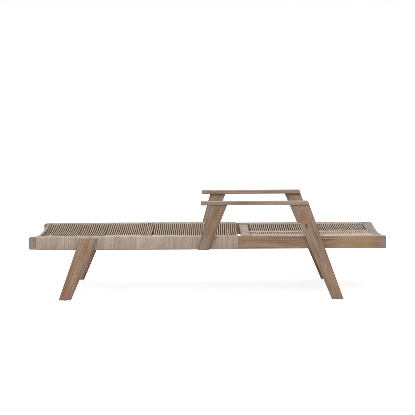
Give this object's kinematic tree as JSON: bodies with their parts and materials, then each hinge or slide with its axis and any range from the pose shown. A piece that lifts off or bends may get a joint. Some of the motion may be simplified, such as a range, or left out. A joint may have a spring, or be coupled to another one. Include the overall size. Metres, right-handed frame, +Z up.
{
  "type": "sun lounger",
  "caption": "Low wooden sun lounger with splayed plank legs, armrests, a cord-wound seat and a tilting cord-wound backrest that stands on a hinged prop in notched racks.",
  "frame": {"origin": "on the floor, under the middle of the lounger", "axes": "+X along the lounger to the head end, +Y to the right side, +Z up"},
  "size_m": [2, 0.7, 0.554],
  "materials": {
    "frame_timber": "grey-washed hardwood, planed, matt oil",
    "dowel_timber": "plain beech dowel",
    "cord": "twisted pale taupe outdoor cord, matt",
    "steel": "stainless steel, brushed",
    "plastic": "black nylon, matt"
  },
  "bodies": {
    "base_frame": {"side_rail_left": "frame_timber", "side_rail_right": "frame_timber", "foot_crossbar": "frame_timber", "front_seat_crossbar": "frame_timber", "rear_seat_crossbar": "frame_timber", "back_support_crossbar": "frame_timber", "head_support_crossbar": "frame_timber", "front_leg_left": "frame_timber", "front_leg_right": "frame_timber", "rear_leg_left": "frame_timber", "rear_leg_right": "frame_timber", "arm_post_left": "frame_timber", "arm_post_right": "frame_timber", "armrest_left": "frame_timber", "armrest_right": "frame_timber", "prop_rack_left": "frame_timber", "prop_rack_right": "frame_timber", "armrest_dowels": "dowel_timber", "crossbar_dowels": "dowel_timber", "seat_cord_top": "cord", "seat_cord_bottom": "cord", "rail_wrap_left": "cord", "rail_wrap_right": "cord", "leg_bolts": "steel", "leg_nuts": "steel", "rack_screws": "steel", "pivot_bolts": "steel", "foot_glides": "plastic", "pivot_washers": "plastic"},
    "backrest": {"back_rail_left": "frame_timber", "back_rail_right": "frame_timber", "back_lower_crossbar": "frame_timber", "back_head_crossbar": "frame_timber", "back_spine": "frame_timber", "prop_batten": "frame_timber", "back_cord_top": "cord", "back_cord_bottom": "cord", "back_wrap_left": "cord", "back_wrap_right": "cord", "back_dowels": "dowel_timber", "batten_screws": "steel", "hinge_brackets": "steel", "hinge_pins": "steel", "bracket_screws": "steel", "pivot_bushes": "plastic"},
    "prop_frame": {"prop_arm_left": "frame_timber", "prop_arm_right": "frame_timber", "prop_rod": "steel"}
  },
  "joints": [
    {"name": "backrest_tilt", "type": "hinge", "parent": "base_frame", "child": "backrest", "pos_m": [0.201, 0, 0.34], "axis": [0, -1, 0], "range_deg": [0, 60]},
    {"name": "prop_swing", "type": "hinge", "parent": "backrest", "child": "prop_frame", "pos_m": [0.52703, 0, 0.31], "axis": [0, -1, 0], "range_deg": [-108, 0]}
  ],
  "couplings": [
    {"joint": "prop_swing", "follows": "backrest_tilt", "ratio": -1.8}
  ]
}
